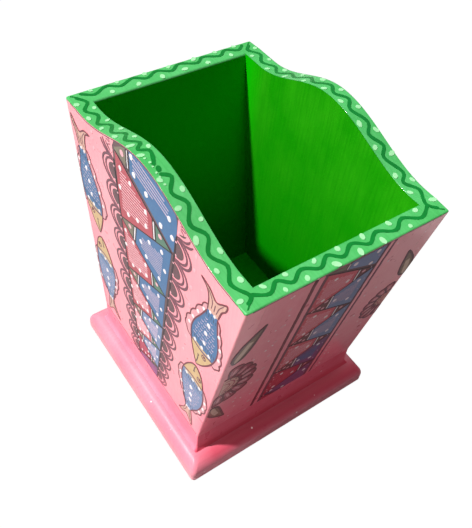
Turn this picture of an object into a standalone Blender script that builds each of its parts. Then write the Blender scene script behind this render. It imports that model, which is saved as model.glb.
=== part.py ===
"""A pen holder cup of painted wooden boards: four walls on a floor board, on a wider plinth, held with nails.

Metres, +Z up. The origin is the middle of the plinth's underside. The front wall faces -Y and the
side walls, which have the raised wave in their top edge, face -X and +X.
"""

from math import atan2, cos, pi, radians, sin, tan

import bmesh
import bpy

MM = 0.001
GAP = 0.3 * MM  # glue line between any two pieces

# Boards
CUP_WIDTH = 68 * MM  # X, across the outer faces of the side walls
MOUTH_DEPTH = 94.5 * MM  # Y, across the outer faces of the front and back walls at the rim
BASE_DEPTH = 66 * MM  # Y, the same across the floor board
WALL_THICK = 6 * MM
BOARD_THICK = 8.7 * MM  # the plinth and the floor board
RIM_Z = 104.5 * MM  # rim height at the four corners
WAVE_RISE = 9.5 * MM  # how far the side walls' top edge rises at its middle
# From the middle of each side wall to where that rise ends, towards the back and the front. The
# walls are cut by hand, and the right one falls faster towards the back.
WAVE_ENDS = {"left": (38 * MM, 38 * MM), "right": (33 * MM, 39 * MM)}
WAVE_STEPS = 32
PLINTH_SIDE = 79 * MM
PLINTH_CORNER_R = 2 * MM
PLINTH_CORNER_STEPS = 4
PLINTH_EDGE_R = 1.6 * MM
FLOOR_ARRIS = 0.4 * MM

# Nails
NAIL_SIDES = 12
NAIL_CLEARANCE = 0.3 * MM  # round the shank and the head
HEAD_SET = 1.0 * MM  # how deep the heads are punched below the surface
PIN = {"length": 15 * MM, "shank_r": 0.6 * MM, "head_r": 1.3 * MM, "head_thick": 0.7 * MM}
TACK = {"length": 13 * MM, "shank_r": 0.8 * MM, "head_r": 1.8 * MM, "head_thick": 0.9 * MM}
POINT_LENGTH = 1.6 * MM
HOLE_PAST_FACE = 0.5 * MM  # how far a hole's cutter stands out of the board
CORNER_NAIL_Z = {"low": 31 * MM, "mid": 61 * MM, "top": 91 * MM}
SIDE_FOOT_NAIL_Y = 16 * MM  # floor nails into the side walls, from the middle
END_FOOT_NAIL_X = 17 * MM  # floor nails into the front and back walls, from the middle
FOOT_NAIL_INSET = 2.6 * MM  # of the floor nails from the outer face of a front or back wall
PLINTH_NAIL_XY = 20 * MM

# Worked out
FLOOR_Z = BOARD_THICK + GAP  # underside of the floor board
WALL_FOOT_Z = FLOOR_Z + BOARD_THICK + GAP
LEAN = atan2((MOUTH_DEPTH - BASE_DEPTH) / 2, RIM_Z - WALL_FOOT_Z)  # of the front and back walls
WALL_SECTION = WALL_THICK / cos(LEAN)  # a leaning wall's thickness measured level
END_WALL_LENGTH = CUP_WIDTH - 2 * (WALL_THICK + GAP)
YZ_TO_WORLD = (radians(90), 0, radians(90))  # local X, Y, Z become world Y, Z, X


def clear_scene():
    for item in list(bpy.data.objects):
        bpy.data.objects.remove(item)


def paint(name, colour, roughness, metallic=0.0):
    material = bpy.data.materials.new(name)
    material.use_nodes = True
    shader = material.node_tree.nodes["Principled BSDF"]
    shader.inputs["Base Color"].default_value = (*colour, 1)
    shader.inputs["Roughness"].default_value = roughness
    shader.inputs["Metallic"].default_value = metallic
    return material


def add_object(name, mesh, material, location=(0, 0, 0), rotation=(0, 0, 0)):
    piece = bpy.data.objects.new(name, mesh)
    bpy.context.scene.collection.objects.link(piece)
    piece.location = location
    piece.rotation_euler = rotation
    if material:
        mesh.materials.append(material)
    return piece


def extruded(name, outline, thickness):
    """A mesh whose outline lies in local XY, centred on local Z = 0."""
    shape = bmesh.new()
    corners = [shape.verts.new((x, y, -thickness / 2)) for x, y in outline]
    base = shape.faces.new(corners)
    grown = bmesh.ops.extrude_face_region(shape, geom=[base])
    moved = [v for v in grown["geom"] if isinstance(v, bmesh.types.BMVert)]
    bmesh.ops.translate(shape, vec=(0, 0, thickness), verts=moved)
    bmesh.ops.recalc_face_normals(shape, faces=shape.faces)
    mesh = bpy.data.meshes.new(name)
    shape.to_mesh(mesh)
    shape.free()
    return mesh


def turned(name, profile, sides):
    """A closed round mesh about local Z, from (radius, z) points that start and end on the axis."""
    shape = bmesh.new()
    line = [shape.verts.new((r, 0, z)) for r, z in profile]
    edges = [shape.edges.new(pair) for pair in zip(line, line[1:])]
    bmesh.ops.spin(
        shape, geom=line + edges, cent=(0, 0, 0), axis=(0, 0, 1), angle=2 * pi, steps=sides
    )
    bmesh.ops.remove_doubles(shape, verts=shape.verts, dist=0.01 * MM)
    bmesh.ops.recalc_face_normals(shape, faces=shape.faces)
    mesh = bpy.data.meshes.new(name)
    shape.to_mesh(mesh)
    shape.free()
    mesh.shade_smooth()
    mesh.set_sharp_from_angle(angle=radians(40))
    return mesh


def wave_z(y, back_end, front_end):
    """Height of a side wall's top edge."""
    end = back_end if y > 0 else front_end
    if abs(y) >= end:
        return RIM_Z
    return RIM_Z + WAVE_RISE * (1 + cos(pi * y / end)) / 2


def rounded_square(side, radius, steps):
    """(x, y) points, corner by corner."""
    inner = side / 2 - radius
    points = []
    for quarter, (sx, sy) in enumerate(((1, 1), (-1, 1), (-1, -1), (1, -1))):
        for i in range(steps + 1):
            angle = pi / 2 * (quarter + i / steps)
            points.append((sx * inner + radius * cos(angle), sy * inner + radius * sin(angle)))
    return points


def side_wall_outline(back_end, front_end):
    """(y, z) points: a foot, two leaning edges, and the waved top."""
    length = back_end + front_end
    wave = [back_end - length * i / WAVE_STEPS for i in range(WAVE_STEPS + 1)]
    top = [MOUTH_DEPTH / 2, *wave, -MOUTH_DEPTH / 2]
    foot = [(-BASE_DEPTH / 2, WALL_FOOT_Z), (BASE_DEPTH / 2, WALL_FOOT_Z)]
    return foot + [(y, wave_z(y, back_end, front_end)) for y in top]


def end_wall_outline(facing):
    """(y, z) points of a front (facing -1) or back (facing 1) wall: a leaning, level-ended section."""
    out_low, out_top = BASE_DEPTH / 2, MOUTH_DEPTH / 2
    return [
        (facing * out_low, WALL_FOOT_Z),
        (facing * (out_low - WALL_SECTION), WALL_FOOT_Z),
        (facing * (out_top - WALL_SECTION), RIM_Z),
        (facing * out_top, RIM_Z),
    ]


def end_wall_middle(z):
    """Distance from the cup's middle to the middle of a front or back wall's thickness."""
    return BASE_DEPTH / 2 + (z - WALL_FOOT_Z) * tan(LEAN) - WALL_SECTION / 2


def nail_profile(size, clearance=0.0, above=0.0):
    """(radius, z) points of a nail whose head's top is at 0 and whose point is down local Z.

    With a clearance, the profile of its hole, which also goes above the head.
    """
    head_r = size["head_r"] + clearance
    shank_r = size["shank_r"] + clearance
    under_head = -size["head_thick"] - clearance
    tip = -size["length"] - clearance
    return [
        (0, above),
        (head_r, above),
        (head_r, under_head),
        (shank_r, under_head),
        (shank_r, tip + POINT_LENGTH),
        (0, tip),
    ]


def bevel(piece, width, segments):
    modifier = piece.modifiers.new("round edges", "BEVEL")
    modifier.width = width
    modifier.segments = segments
    modifier.limit_method = "ANGLE"
    modifier.angle_limit = radians(40)


def drill(piece, cutter):
    modifier = piece.modifiers.new("nail hole", "BOOLEAN")
    modifier.operation = "DIFFERENCE"
    modifier.solver = "EXACT"
    modifier.object = cutter


def nail_kind(label, size):
    """The mesh that all nails of one size share, and that of their holes."""
    hole = nail_profile(size, NAIL_CLEARANCE, HEAD_SET + HOLE_PAST_FACE)
    return {
        "nail": turned(label, nail_profile(size), NAIL_SIDES),
        "hole": turned(label + "_hole", hole, NAIL_SIDES),
    }


def drive_nail(name, kind, location, rotation, boards):
    """Adds a nail at its head's top, and its hole in each board that it goes through."""
    add_object(name, kind["nail"], None, location, rotation)
    hole = add_object(name + "_hole", kind["hole"], None, location, rotation)
    hole.hide_render = True
    hole.display_type = "WIRE"
    for board in boards:
        drill(board, hole)


def make_boards():
    pink = paint("pink paint", (0.90, 0.36, 0.42), 0.35)
    deep_pink = paint("deep pink paint", (0.92, 0.30, 0.40), 0.35)

    square = rounded_square(PLINTH_SIDE, PLINTH_CORNER_R, PLINTH_CORNER_STEPS)
    plinth = add_object(
        "plinth", extruded("plinth", square, BOARD_THICK), deep_pink, (0, 0, BOARD_THICK / 2)
    )
    bevel(plinth, PLINTH_EDGE_R, 3)

    x, y = CUP_WIDTH / 2, BASE_DEPTH / 2
    oblong = [(-x, -y), (x, -y), (x, y), (-x, y)]
    floor_board = add_object(
        "floor_board",
        extruded("floor_board", oblong, BOARD_THICK),
        deep_pink,
        (0, 0, FLOOR_Z + BOARD_THICK / 2),
    )
    bevel(floor_board, FLOOR_ARRIS, 1)

    boards = {"plinth": plinth, "floor_board": floor_board}
    middle = (CUP_WIDTH - WALL_THICK) / 2
    for side, sign in (("left", -1), ("right", 1)):
        name = side + "_wall"
        mesh = extruded(name, side_wall_outline(*WAVE_ENDS[side]), WALL_THICK)
        boards[name] = add_object(name, mesh, pink, (sign * middle, 0, 0), YZ_TO_WORLD)
    for name, facing in (("front_wall", -1), ("back_wall", 1)):
        mesh = extruded(name, end_wall_outline(facing), END_WALL_LENGTH)
        boards[name] = add_object(name, mesh, pink, (0, 0, 0), YZ_TO_WORLD)
    return boards


def make_nails(boards):
    steel = paint("nail steel", (0.55, 0.55, 0.57), 0.35, metallic=1.0)
    pin = nail_kind("pin", PIN)
    tack = nail_kind("tack", TACK)
    for kind in (pin, tack):
        kind["nail"].materials.append(steel)

    sides = (("left", -1), ("right", 1))
    ends = (("front", -1), ("back", 1))
    upward = (radians(180), 0, 0)
    floor_head_z = FLOOR_Z + HEAD_SET

    for side, sx in sides:
        inward = (0, sx * radians(90), 0)
        head_x = sx * (CUP_WIDTH / 2 - HEAD_SET)
        for end, sy in ends:
            joined = [boards[side + "_wall"], boards[end + "_wall"]]
            for level, z in CORNER_NAIL_Z.items():
                place = (head_x, sy * end_wall_middle(z), z)
                drive_nail(f"corner_nail_{side}_{end}_{level}", pin, place, inward, joined)

    floor_board = boards["floor_board"]
    for side, sx in sides:
        for end, sy in ends:
            place = (sx * (CUP_WIDTH - WALL_THICK) / 2, sy * SIDE_FOOT_NAIL_Y, floor_head_z)
            through = [floor_board, boards[side + "_wall"]]
            drive_nail(f"floor_nail_{side}_wall_{end}", pin, place, upward, through)

            place = (sx * END_FOOT_NAIL_X, sy * (BASE_DEPTH / 2 - FOOT_NAIL_INSET), floor_head_z)
            through = [floor_board, boards[end + "_wall"]]
            drive_nail(f"floor_nail_{end}_wall_{side}", pin, place, upward, through)

            place = (sx * PLINTH_NAIL_XY, sy * PLINTH_NAIL_XY, HEAD_SET)
            through = [boards["plinth"], floor_board]
            drive_nail(f"plinth_nail_{side}_{end}", tack, place, upward, through)


clear_scene()
make_nails(make_boards())
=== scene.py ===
"""The painted look of a wooden pen holder cup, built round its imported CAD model. Blender 4.5.

Lengths are millimetres until a mesh is made. The boards are rebuilt with rounded edges and a coat
of green paint inside and on the rim. The decoration is thin raised paint: a closed prism for each
stroke, dot and patch, gathered into one piece for each surface and colour.
"""

from math import atan, ceil, cos, pi, radians, sin
from random import Random

import bmesh
import bpy
from mathutils import Matrix, Vector, noise


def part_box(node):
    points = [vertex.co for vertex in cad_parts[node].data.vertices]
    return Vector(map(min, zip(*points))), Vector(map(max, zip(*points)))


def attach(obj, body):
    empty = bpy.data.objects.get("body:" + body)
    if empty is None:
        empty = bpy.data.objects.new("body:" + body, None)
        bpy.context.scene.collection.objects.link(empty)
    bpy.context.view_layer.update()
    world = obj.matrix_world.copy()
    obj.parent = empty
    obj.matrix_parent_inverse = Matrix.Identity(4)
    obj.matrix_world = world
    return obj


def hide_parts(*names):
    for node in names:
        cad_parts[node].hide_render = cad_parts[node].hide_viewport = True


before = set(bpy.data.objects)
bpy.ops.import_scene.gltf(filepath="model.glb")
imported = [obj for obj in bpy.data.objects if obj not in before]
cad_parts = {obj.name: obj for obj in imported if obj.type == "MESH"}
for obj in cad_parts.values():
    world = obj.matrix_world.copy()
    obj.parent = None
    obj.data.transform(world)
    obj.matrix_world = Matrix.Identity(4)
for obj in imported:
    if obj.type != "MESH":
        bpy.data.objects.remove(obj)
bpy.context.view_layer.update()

MM = 0.001

# ---- sizes, from the CAD model


def corners_mm(node):
    low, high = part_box(node)
    return low / MM, high / MM


PLINTH_LOW, PLINTH_HIGH = corners_mm("plinth")
_, BASE_HIGH = corners_mm("floor_board")
SIDE_LOW, SIDE_HIGH = corners_mm("left_wall")
_, END_HIGH = corners_mm("front_wall")

OUTER_X = -SIDE_LOW.x  # outer faces of the side walls
INNER_X = -SIDE_HIGH.x
MOUTH_Y = SIDE_HIGH.y  # outer faces of the front and back walls, at the rim
BASE_Y = BASE_HIGH.y  # the same at the floor board
FOOT_Z = SIDE_LOW.z
RIM_Z = END_HIGH.z
CREST_Z = SIDE_HIGH.z  # top of the side walls' wave
SLOPE = (MOUTH_Y - BASE_Y) / (RIM_Z - FOOT_Z)
LEAN = atan(SLOPE)
SECTION = (OUTER_X - INNER_X) / cos(LEAN)  # a leaning wall's thickness, measured level
# From the middle of the left (-1) and right (1) walls to where the wave ends, at the back and front
WAVE_ENDS = {-1: (38, 38), 1: (33, 39)}
WAVE_STEPS = 44

EDGE_R = 0.6  # rounding of the boards' edges
SEAM_R = 0.25  # rounding on each side of the seam over the floor board
SEAM = 0.06  # open seam left between the walls and the floor board
JOIN = 0.03  # how far the front and back walls reach into the side walls
TUCK = 0.05  # how far a part's underside reaches into the one below
BASE_RISE = 0.15  # how far the floor board reaches into the glue gap over it
PLINTH_CORNER_R = 1.5
PLINTH_TOP_R = 4.6
PLINTH_FOOT_R = 1.0
FILLET = 1.1  # size of the paint-filled corner between the plinth and the floor board
FILLET_RISE = 3.0
COAT = 0.06  # thickness of the green paint


def wave_z(y, side):
    """Height of a side wall's top edge."""
    back_end, front_end = WAVE_ENDS[side]
    end = back_end if y > 0 else front_end
    if abs(y) >= end:
        return RIM_Z
    return RIM_Z + (CREST_Z - RIM_Z) * (1 + cos(pi * y / end)) / 2


def outer_y(z):
    """Distance of the front and back walls' outer faces from the middle."""
    return BASE_Y + (z - FOOT_Z) * SLOPE


# ---- materials


def linear(value):
    """Linear light from a 0-255 screen value."""
    value /= 255
    return value / 12.92 if value <= 0.04045 else ((value + 0.055) / 1.055) ** 2.4


def tone(rgb, gain=1.0):
    return (*[min(1.0, linear(value) * gain) for value in rgb], 1)


class Nodes:
    """Short ways to build the node tree of a material or world."""

    def __init__(self, owner, place="Object"):
        owner.use_nodes = True
        self.owner, self.tree = owner, owner.node_tree
        self.position = self.add("ShaderNodeTexCoord").outputs[place]

    def plug(self, socket, value):
        if isinstance(value, bpy.types.NodeSocket):
            self.tree.links.new(value, socket)
        else:
            socket.default_value = value

    def add(self, kind, inputs=None, **settings):
        """A new node; inputs are values or other nodes' outputs."""
        node = self.tree.nodes.new(kind)
        for key, value in settings.items():
            setattr(node, key, value)
        for key, value in (inputs or {}).items():
            self.plug(node.inputs[key], value)
        return node

    def stretched(self, per_mm):
        """The position, scaled by a number of features per mm on each axis."""
        scale = [value / MM for value in per_mm]
        return self.add("ShaderNodeMapping", {"Vector": self.position, "Scale": scale}).outputs[0]

    def noise(self, per_mm, detail=3.0, rough=0.5):
        values = {"Vector": self.stretched(per_mm), "Scale": 1.0, "Detail": detail,
                  "Roughness": rough}
        return self.add("ShaderNodeTexNoise", values).outputs["Fac"]

    def ramp(self, value, low, high, to_low=0.0, to_high=1.0):
        values = {"Value": value, "From Min": low, "From Max": high, "To Min": to_low,
                  "To Max": to_high}
        return self.add("ShaderNodeMapRange", values).outputs["Result"]

    def split(self, vector):
        return self.add("ShaderNodeSeparateXYZ", {"Vector": vector}).outputs

    def maths(self, operation, first, second):
        return self.add("ShaderNodeMath", {0: first, 1: second}, operation=operation).outputs[0]

    def mix(self, factor, first, second):
        values = {0: factor, 6: first, 7: second}
        return self.add("ShaderNodeMix", values, data_type="RGBA").outputs[2]

    def finish(self, colour, roughness, bump=None, bump_depth=0.0, **plain):
        """Wires up the shader; bump_depth is in mm, and plain holds its other inputs' values."""
        values = {"Base Color": colour, "Roughness": roughness}
        if bump is not None:
            heights = {"Height": bump, "Distance": bump_depth * MM, "Strength": 1.0}
            values["Normal"] = self.add("ShaderNodeBump", heights).outputs["Normal"]
        values.update({key.replace("_", " "): value for key, value in plain.items()})
        for key, value in values.items():
            self.plug(self.tree.nodes["Principled BSDF"].inputs[key], value)
        return self.owner


def new_paint(name):
    return Nodes(bpy.data.materials.new(name))


# The gloss coat's weight and roughness
GLOSS = (0.6, 0.1)
RIM_GLOSS = (0.4, 0.12)
SATIN = (0.15, 0.15)
DULL = (0.05, 0.35)

GAIN = 0.625  # from a colour as the sun shows it on a side wall to the paint's own
TOP_GAIN = 0.45  # the same for what faces up
BRUSH = {"z": (1.5, 1.5, 0.05), "x": (0.05, 1.5, 1.5), "y": (1.5, 0.05, 1.5)}
SPECK = tone((255, 240, 242))


def tint(rgb, share, ragged=False, **spans):
    """A tone mixed in from the first to the second place, in mm, on each axis named."""
    return rgb, share, ragged, spans


def board_paint(name, tones, along="z", streak=0.3, specks=0.0, gain=GAIN, varnish=DULL,
                specular=0.15, tints=()):
    """Brushed paint. tones are light, middle and dark, along is the axis of the brush marks, and
    specks is a share of small pale spots."""
    light, middle, dark = [tone(rgb, gain) for rgb in tones]
    nodes = new_paint(name)
    blotch = nodes.noise((0.07, 0.07, 0.05), detail=4, rough=0.55)
    streaks = nodes.noise(BRUSH[along], rough=0.6)
    grain = nodes.noise((2.2, 2.2, 2.2), detail=2)
    colour = nodes.mix(nodes.ramp(blotch, 0.35, 0.65), middle, light)
    colour = nodes.mix(nodes.ramp(streaks, 0.42, 0.72, 0, streak), colour, dark)
    colour = nodes.mix(nodes.ramp(grain, 0.5, 0.8, 0, 0.25), colour, light)
    place = nodes.split(nodes.stretched((1, 1, 1)))
    for rgb, share, ragged, spans in tints:
        for axis, span in spans.items():
            share = nodes.maths("MULTIPLY", share, nodes.ramp(place[axis], *span))
        if ragged:
            share = nodes.maths("MULTIPLY", share, nodes.ramp(blotch, 0.2, 0.7, 0.75, 1.1))
        colour = nodes.mix(share, colour, tone(rgb, gain))
    if specks:
        values = {"Vector": nodes.stretched((0.32, 0.32, 0.32)), "Scale": 1.0}
        cells = nodes.add("ShaderNodeTexVoronoi", values).outputs
        near = nodes.ramp(cells["Distance"], 0.09, 0.15, 1, 0)
        pick = nodes.split(cells["Color"])["X"]
        chosen = nodes.ramp(pick, 1 - specks - 0.01, 1 - specks, 0, 0.8)
        colour = nodes.mix(nodes.maths("MULTIPLY", near, chosen), colour, SPECK)
    uneven = nodes.ramp(nodes.noise((0.25, 0.25, 0.25)), 0.3, 0.7, 0.26, 0.42)
    height = nodes.maths("ADD", streaks, nodes.maths("MULTIPLY", grain, 0.35))
    return nodes.finish(colour, uneven, height, 0.05, Coat_Weight=varnish[0],
                        Coat_Roughness=varnish[1], Specular_IOR_Level=specular)


def line_paint(name, rgb, other, gain, varnish):
    """Thin hand-brushed paint that varies from one tone to another."""
    nodes = new_paint(name)
    first = tone(rgb, gain)
    darker = (*[value * 0.72 for value in first[:3]], 1)
    cover = nodes.noise((0.5, 0.5, 0.5), rough=0.6)
    hairs = nodes.noise((2.6, 2.6, 2.6), detail=2)
    colour = nodes.mix(nodes.ramp(cover, 0.38, 0.68, 0, 0.5), first, tone(other, gain))
    colour = nodes.mix(nodes.ramp(hairs, 0.5, 0.75, 0, 0.35), colour, darker)
    rough = nodes.ramp(cover, 0.3, 0.7, 0.28, 0.45)
    nodes.finish(colour, rough, hairs, 0.03, Coat_Weight=varnish[0], Coat_Roughness=varnish[1],
                 Specular_IOR_Level=0.1)


def steel(name):
    nodes = new_paint(name)
    drawn = nodes.noise((6, 6, 6))
    dull = nodes.ramp(nodes.noise((0.8, 0.8, 0.8)), 0.4, 0.7)
    colour = nodes.mix(dull, (0.5, 0.5, 0.52, 1), (0.32, 0.3, 0.29, 1))
    return nodes.finish(colour, nodes.ramp(drawn, 0.3, 0.7, 0.25, 0.5), drawn, 0.01, Metallic=1.0)


MATERIALS = {
    "wall": board_paint(
        "pink wall paint", ((296, 202, 210), (291, 191, 201), (280, 166, 180)), specks=0.05,
        varnish=GLOSS, tints=[
            tint((290, 160, 178), 0.4, True, Z=(44, 14)),
            # Paler towards the upper right of the front: a painted reflection in the gloss.
            tint((312, 262, 262), 0.5, X=(-8, 34), Y=(-34, -40), Z=(30, 96)),
            # Deeper pink towards the foot on the front and back edges, as on those walls: partly
            # the paint, partly painted shade.
            tint((288, 134, 162), 0.75, Y=(-31, -34), Z=(74, 12)),
            tint((288, 134, 162), 0.75, Y=(31, 34), Z=(74, 12)),
        ],
    ),
    "end_wall": board_paint(
        "pink end wall paint", ((288, 194, 204), (282, 184, 195), (272, 154, 169)), specks=0.05,
        varnish=GLOSS, tints=[
            # Deeper pink towards the foot, stronger than on the side walls: partly the paint,
            # partly painted shade.
            tint((288, 134, 162), 0.8, True, Z=(74, 12)),
            # Paler towards the upper right of the front: a painted reflection in the gloss.
            tint((312, 264, 264), 0.6, X=(-8, 34), Y=(0, -20), Z=(30, 96)),
        ],
    ),
    "band": board_paint(
        "deep pink paint", ((290, 164, 186), (284, 146, 170), (268, 116, 142)), "x", specks=0.04,
        # Crimson on the band's front face only: painted shade.
        tints=[tint((230, 72, 98), 0.9, Y=(-32.5, -33.5))],
    ),
    "plinth": board_paint(
        "plinth pink paint", ((296, 180, 200), (290, 166, 188), (278, 142, 166)), "x",
        specks=0.16, gain=TOP_GAIN, tints=[
            # Paler towards the foot: painted light on the plinth's sides.
            tint((340, 256, 264), 0.65, True, Z=(6.5, 1)),
            # Deeper pink on the front strip of the top, except its sunlit left end: the cup's
            # painted shadow.
            tint((268, 104, 130), 0.9, X=(-39, -29), Y=(-32, -36), Z=(5, 7.5)),
        ],
    ),
    "inside": board_paint(
        "green inside paint", ((50, 188, 16), (28, 172, 6), (4, 146, 2)), streak=0.5,
        specular=0.08, tints=[
            # Darker green towards the bottom of the cup, unevenly: painted shade.
            tint((0, 140, 0), 0.95, True, Z=(100, 30)),
            # Lighter green towards the back wall's inner face: painted light.
            tint((4, 206, 0), 0.9, Y=(30, 38)),
        ],
    ),
    "floor": board_paint(
        "green floor paint", ((20, 172, 10), (8, 158, 6), (2, 132, 2)), "x", streak=0.5,
        specular=0.03,
    ),
    "rim": board_paint(
        "light green rim paint", ((104, 228, 130), (82, 212, 108), (50, 188, 80)), "y",
        streak=0.35, gain=TOP_GAIN, varnish=RIM_GLOSS,
    ),
    "steel": steel("nail steel"),
}

# The decoration's colours, grouped under slot names: each one's screen colour, and the tone it
# varies to
PALETTE = {
    "paint_brown": {
        "ink": ((52, 44, 50), (84, 70, 74)),
        "taupe": ((112, 86, 88), (140, 108, 112)),
        "umber": ((122, 64, 66), (150, 92, 88)),
        "lace": ((128, 78, 92), (168, 116, 128)),
        "olive": ((138, 134, 112), (166, 156, 134)),
        "khaki": ((168, 148, 124), (140, 120, 104)),
    },
    "paint_red": {
        "maroon": ((132, 62, 72), (164, 90, 100)),
        "crimson": ((176, 40, 70), (200, 62, 92)),
        "ruby": ((214, 38, 76), (228, 64, 96)),
        "red": ((206, 88, 100), (222, 112, 120)),
        "petal": ((206, 96, 116), (188, 78, 98)),
        "coral": ((232, 128, 140), (240, 148, 158)),
        "brick": ((246, 106, 120), (250, 136, 148)),
        "rose": ((270, 218, 224), (262, 202, 210)),
    },
    "paint_blue": {
        "blue": ((74, 130, 182), (100, 152, 196)),
        "sky": ((132, 162, 204), (150, 176, 212)),
        "purple": ((130, 84, 140), (156, 112, 160)),
        "sage": ((92, 142, 118), (124, 162, 136)),
    },
    "paint_white": {
        "white": ((285, 280, 280), (262, 248, 252)),
        "blush": ((280, 214, 222), (268, 200, 210)),
        "shell": ((264, 192, 198), (252, 178, 186)),
        "mauve": ((224, 204, 222), (198, 180, 214)),
    },
    "paint_yellow": {
        "sand": ((250, 232, 206), (226, 204, 178)),
        "gold": ((246, 212, 156), (232, 190, 130)),
        "peach": ((256, 206, 186), (240, 180, 162)),
    },
    "rim_green": {
        "leaf": ((0, 152, 56), (0, 128, 44)),
        "mint": ((196, 272, 204), (164, 256, 178)),
    },
}
SLOTS = {colour: slot for slot, colours in PALETTE.items() for colour in colours}


def paint_of(colour):
    """A decoration colour's material, made when it is first wanted."""
    name, slot = f"{colour} line paint", SLOTS[colour]
    if name not in bpy.data.materials:
        look = (TOP_GAIN, SATIN) if slot == "rim_green" else (GAIN, GLOSS)
        line_paint(name, *PALETTE[slot][colour], *look)
    return bpy.data.materials[name]


# ---- the boards and their green paint


def add_piece(name, shape, material, slot, node=None, sharp=50, coat=0.0, even=True):
    """A piece from a bmesh. Edges above the angle sharp stay sharp, and coat thickens a skin."""
    mesh = bpy.data.meshes.new(name)
    shape.to_mesh(mesh)
    shape.free()
    mesh.shade_smooth()
    mesh.set_sharp_from_angle(angle=radians(sharp))
    mesh.transform(Matrix.Scale(MM, 4))
    mesh.materials.append(material)
    piece = bpy.data.objects.new(name, mesh)
    bpy.context.scene.collection.objects.link(piece)
    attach(piece, "root")
    if node:
        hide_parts(node)
    if coat:
        modifier = piece.modifiers.new("paint thickness", "SOLIDIFY")
        modifier.thickness = coat * MM
        modifier.offset = 1
    if even:
        modifier = piece.modifiers.new("even shading", "WEIGHTED_NORMAL")
        modifier.keep_sharp = True
        modifier.weight = 100


def closed(shape):
    bmesh.ops.recalc_face_normals(shape, faces=shape.faces)
    return shape


def near(a, b):
    return abs(a - b) < 1e-3


def round_edges(shape, chosen):
    """Rounds the edges for which chosen is true of their ends."""
    edges = [edge for edge in shape.edges if chosen(*[vert.co for vert in edge.verts])]
    bmesh.ops.bevel(
        shape, geom=edges, offset=EDGE_R, offset_type="OFFSET", segments=4, profile=0.5,
        affect="EDGES", clamp_overlap=False,
    )


def prism(shape, *outlines):
    """A closed solid through outlines of the same number of points, from the lowest up."""
    rings = [[shape.verts.new(p) for p in outline] for outline in outlines]
    shape.faces.new(rings[0][::-1])
    shape.faces.new(rings[-1])
    for low, high in zip(rings, rings[1:]):
        for i, first in enumerate(low):
            j = (i + 1) % len(low)
            shape.faces.new((first, low[j], high[j], high[i]))


def level_ring(half_x, half_y, radius, z, steps=6):
    """(x, y, z) points round a level oblong with round corners."""
    points = []
    for quarter, (sx, sy) in enumerate(((1, 1), (-1, 1), (-1, -1), (1, -1))):
        for i in range(steps + 1):
            angle = pi / 2 * (quarter + i / steps)
            x = sx * (half_x - radius) + radius * cos(angle)
            y = sy * (half_y - radius) + radius * sin(angle)
            points.append((x, y, z))
    return points


def quarter_turn(radius, steps=6):
    """(inset, drop) pairs round an edge of that radius, from its side face to its level face."""
    angles = [pi / 2 * i / steps for i in range(steps + 1)]
    return [(radius * (1 - cos(angle)), radius * (1 - sin(angle))) for angle in angles]


def make_plinth():
    def ring(inset, z):
        return level_ring(PLINTH_HIGH.x - inset, PLINTH_HIGH.y - inset, PLINTH_CORNER_R, z)

    shape = bmesh.new()
    foot = [ring(inset, PLINTH_LOW.z + drop) for inset, drop in quarter_turn(PLINTH_FOOT_R)]
    top = [ring(inset, PLINTH_HIGH.z - drop) for inset, drop in quarter_turn(PLINTH_TOP_R, 10)]
    prism(shape, *foot[::-1], *top)
    add_piece("plinth_board", closed(shape), MATERIALS["plinth"], "plinth_pink", "plinth")


def make_floor_board():
    """The floor board, its foot flaring into a fillet of paint. Returns the height of its top."""
    def ring(inset, z):
        return level_ring(OUTER_X - inset, BASE_Y - inset, EDGE_R, z)

    shape = bmesh.new()
    low, high = PLINTH_HIGH.z - TUCK, BASE_HIGH.z + BASE_RISE
    flare = [(t, (1 - t) ** 2) for t in (0, 0.15, 0.35, 0.6, 1)]
    rings = [ring(-FILLET * out, low + FILLET_RISE * t) for t, out in flare]
    rings += [ring(inset, high - drop) for inset, drop in quarter_turn(SEAM_R, 3)]
    prism(shape, *rings)
    add_piece("band_board", closed(shape), MATERIALS["band"], "band_pink", "floor_board")
    return high


def side_wall(sign, foot):
    """A side wall's bmesh, with its outer edges rounded, and its inner top edge between the end
    walls."""
    back_end, front_end = WAVE_ENDS[sign]
    length = back_end + front_end
    wave = [back_end - length * i / WAVE_STEPS for i in range(WAVE_STEPS + 1)]
    joint = outer_y(RIM_Z) - SECTION  # where the inner faces of the end walls meet the rim
    top = [MOUTH_Y, joint, *wave, -joint, -MOUTH_Y]
    edge = outer_y(foot)
    outline = [(-edge, foot), (edge, foot)] + [(y, wave_z(y, sign)) for y in top]
    inner, outer = sign * INNER_X, sign * OUTER_X
    shape = bmesh.new()
    prism(shape, [(inner, y, z) for y, z in outline], [(outer, y, z) for y, z in outline])

    def rounded(a, b):
        if near(a.z, foot) and near(b.z, foot):
            return False
        if abs(a.x - b.x) > 1:
            return a.z > foot + 1 and near(abs(a.y), MOUTH_Y)
        on_top = min(a.z, b.z) > RIM_Z - 1e-3
        return near(a.x, outer) or on_top and max(abs(a.y), abs(b.y)) < joint + 1e-3

    round_edges(shape, rounded)
    return closed(shape)


def end_wall(sign, foot):
    """A front (-1) or back (1) wall's bmesh, with its top edges rounded."""
    shape = bmesh.new()
    low, top = outer_y(foot), outer_y(RIM_Z)
    section = [(low, foot), (low - SECTION, foot), (top - SECTION, RIM_Z), (top, RIM_Z)]
    reach = INNER_X + JOIN
    prism(shape, *[[(x, sign * y, z) for y, z in section] for x in (-reach, reach)])
    round_edges(shape, lambda a, b: abs(a.x - b.x) > 1 and near(a.z, RIM_Z))
    return closed(shape)


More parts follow.
